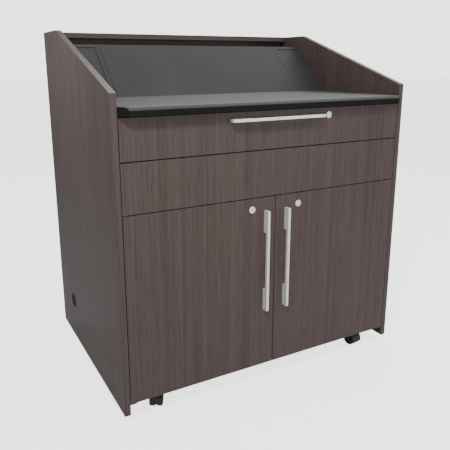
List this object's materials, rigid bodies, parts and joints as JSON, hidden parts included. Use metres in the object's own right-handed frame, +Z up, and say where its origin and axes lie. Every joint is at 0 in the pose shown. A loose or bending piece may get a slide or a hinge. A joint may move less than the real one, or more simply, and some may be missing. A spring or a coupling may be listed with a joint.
{
  "type": "presentation lectern",
  "caption": "Wide laminate presentation lectern on casters with a black worktop, sloped equipment panel, top drawer and two locking doors with bar handles.",
  "frame": {"origin": "on the floor, below the middle of the lectern", "axes": "+Z up, front (drawer and doors) towards -Y, +X to the right seen from the front"},
  "size_m": [1.071, 0.775, 1.173],
  "materials": {
    "laminate": "fine-grained dark laminate, satin",
    "black_laminate": "black satin laminate",
    "black_panel": "black satin panel",
    "bar_metal": "brushed satin",
    "lock_metal": "polished",
    "steel": "zinc plated",
    "rack_steel": "black powder coat",
    "birch": "clear lacquer",
    "nylon": "natural nylon",
    "caster_plastic": "black moulded",
    "wheel_plastic": "black moulded"
  },
  "bodies": {
    "root": {"side_panel_left": "laminate", "side_panel_right": "laminate", "top_rail": "laminate", "back_panel": "laminate", "rear_access_panel": "laminate", "apron_panel": "laminate", "bottom_deck": "laminate", "center_partition": "laminate", "bay_divider": "laminate", "adjustable_shelf": "laminate", "worktop": "black_laminate", "slope_panel_middle": "black_panel", "slope_panel_left": "black_panel", "slope_panel_right": "black_panel", "rear_panel_screws": "steel", "worktop_brackets": "steel", "shelf_pins": "steel", "slide_outer_left": "steel", "slide_outer_right": "steel", "caster_plates": "steel", "caster_kingpins": "steel", "caster_screws": "steel", "rack_rail_left": "rack_steel", "rack_rail_right": "rack_steel", "pivot_brackets": "rack_steel", "top_pivot_pins": "rack_steel", "slope_rail_lower": "birch", "slope_rail_upper": "birch", "apron_cleats": "birch", "cable_grommets": "caster_plastic"},
    "drawer": {"drawer_front": "laminate", "drawer_side_left": "birch", "drawer_side_right": "birch", "drawer_back": "birch", "drawer_bottom": "birch", "drawer_handle": "bar_metal", "drawer_lock_housing": "lock_metal", "slide_inner_left": "steel", "slide_inner_right": "steel"},
    "drawer_lock": {"drawer_lock_plug": "lock_metal"},
    "slide_middle_left": {"slide_middle_left": "steel"},
    "slide_middle_right": {"slide_middle_right": "steel"},
    "door_left": {"door_left": "laminate", "door_left_handle": "bar_metal", "door_left_bushes": "nylon", "door_left_lock_housing": "lock_metal"},
    "door_left_lock": {"door_left_lock_plug": "lock_metal"},
    "door_right": {"door_right": "laminate", "door_right_handle": "bar_metal", "door_right_bushes": "nylon", "door_right_lock_housing": "lock_metal"},
    "door_right_lock": {"door_right_lock_plug": "lock_metal"},
    "caster_front_left": {"caster_front_left_fork": "caster_plastic"},
    "caster_front_left_wheels": {"caster_front_left_wheels": "wheel_plastic"},
    "caster_front_right": {"caster_front_right_fork": "caster_plastic"},
    "caster_front_right_wheels": {"caster_front_right_wheels": "wheel_plastic"},
    "caster_rear_left": {"caster_rear_left_fork": "caster_plastic"},
    "caster_rear_left_wheels": {"caster_rear_left_wheels": "wheel_plastic"},
    "caster_rear_right": {"caster_rear_right_fork": "caster_plastic"},
    "caster_rear_right_wheels": {"caster_rear_right_wheels": "wheel_plastic"}
  },
  "joints": [
    {"name": "drawer_slide", "type": "slide", "parent": "root", "child": "drawer", "axis": [0, -1, 0], "range_m": [0, 0.33]},
    {"name": "slide_middle_left_travel", "type": "slide", "parent": "root", "child": "slide_middle_left", "axis": [0, -1, 0], "range_m": [0, 0.165]},
    {"name": "slide_middle_right_travel", "type": "slide", "parent": "root", "child": "slide_middle_right", "axis": [0, -1, 0], "range_m": [0, 0.165]},
    {"name": "drawer_lock_turn", "type": "hinge", "parent": "drawer", "child": "drawer_lock", "pos_m": [0.202, -0.3625, 0.898], "axis": [0, -1, 0], "range_deg": [0, 90]},
    {"name": "door_left_swing", "type": "hinge", "parent": "root", "child": "door_left", "pos_m": [-0.502, -0.356, 0.355], "axis": [0, 0, -1], "range_deg": [0, 105]},
    {"name": "door_right_swing", "type": "hinge", "parent": "root", "child": "door_right", "pos_m": [0.502, -0.356, 0.355], "axis": [0, 0, 1], "range_deg": [0, 105]},
    {"name": "door_left_lock_turn", "type": "hinge", "parent": "door_left", "child": "door_left_lock", "pos_m": [-0.089, -0.3625, 0.614], "axis": [0, 1, 0], "range_deg": [0, 90]},
    {"name": "door_right_lock_turn", "type": "hinge", "parent": "door_right", "child": "door_right_lock", "pos_m": [0.089, -0.3625, 0.614], "axis": [0, -1, 0], "range_deg": [0, 90]},
    {"name": "caster_front_left_swivel", "type": "hinge", "parent": "root", "child": "caster_front_left", "pos_m": [-0.402, -0.2985, 0.05], "axis": [0, 0, 1], "continuous": true},
    {"name": "caster_front_left_roll", "type": "hinge", "parent": "caster_front_left", "child": "caster_front_left_wheels", "pos_m": [-0.412, -0.31582, 0.025], "axis": [0.866, -0.5, 0], "continuous": true},
    {"name": "caster_front_right_swivel", "type": "hinge", "parent": "root", "child": "caster_front_right", "pos_m": [0.402, -0.2985, 0.05], "axis": [0, 0, 1], "continuous": true},
    {"name": "caster_front_right_roll", "type": "hinge", "parent": "caster_front_right", "child": "caster_front_right_wheels", "pos_m": [0.40374, -0.31842, 0.025], "axis": [0.9962, 0.0872, 0], "continuous": true},
    {"name": "caster_rear_left_swivel", "type": "hinge", "parent": "root", "child": "caster_rear_left", "pos_m": [-0.402, 0.3325, 0.05], "axis": [0, 0, 1], "continuous": true},
    {"name": "caster_rear_left_roll", "type": "hinge", "parent": "caster_rear_left", "child": "caster_rear_left_wheels", "pos_m": [-0.39682, 0.35182, 0.025], "axis": [-0.9659, 0.2588, 0], "continuous": true},
    {"name": "caster_rear_right_swivel", "type": "hinge", "parent": "root", "child": "caster_rear_right", "pos_m": [0.402, 0.3325, 0.05], "axis": [0, 0, 1], "continuous": true},
    {"name": "caster_rear_right_roll", "type": "hinge", "parent": "caster_rear_right", "child": "caster_rear_right_wheels", "pos_m": [0.392, 0.34982, 0.025], "axis": [-0.866, -0.5, 0], "continuous": true}
  ],
  "couplings": [
    {"joint": "slide_middle_left_travel", "follows": "drawer_slide", "ratio": 0.5},
    {"joint": "slide_middle_right_travel", "follows": "drawer_slide", "ratio": 0.5}
  ]
}
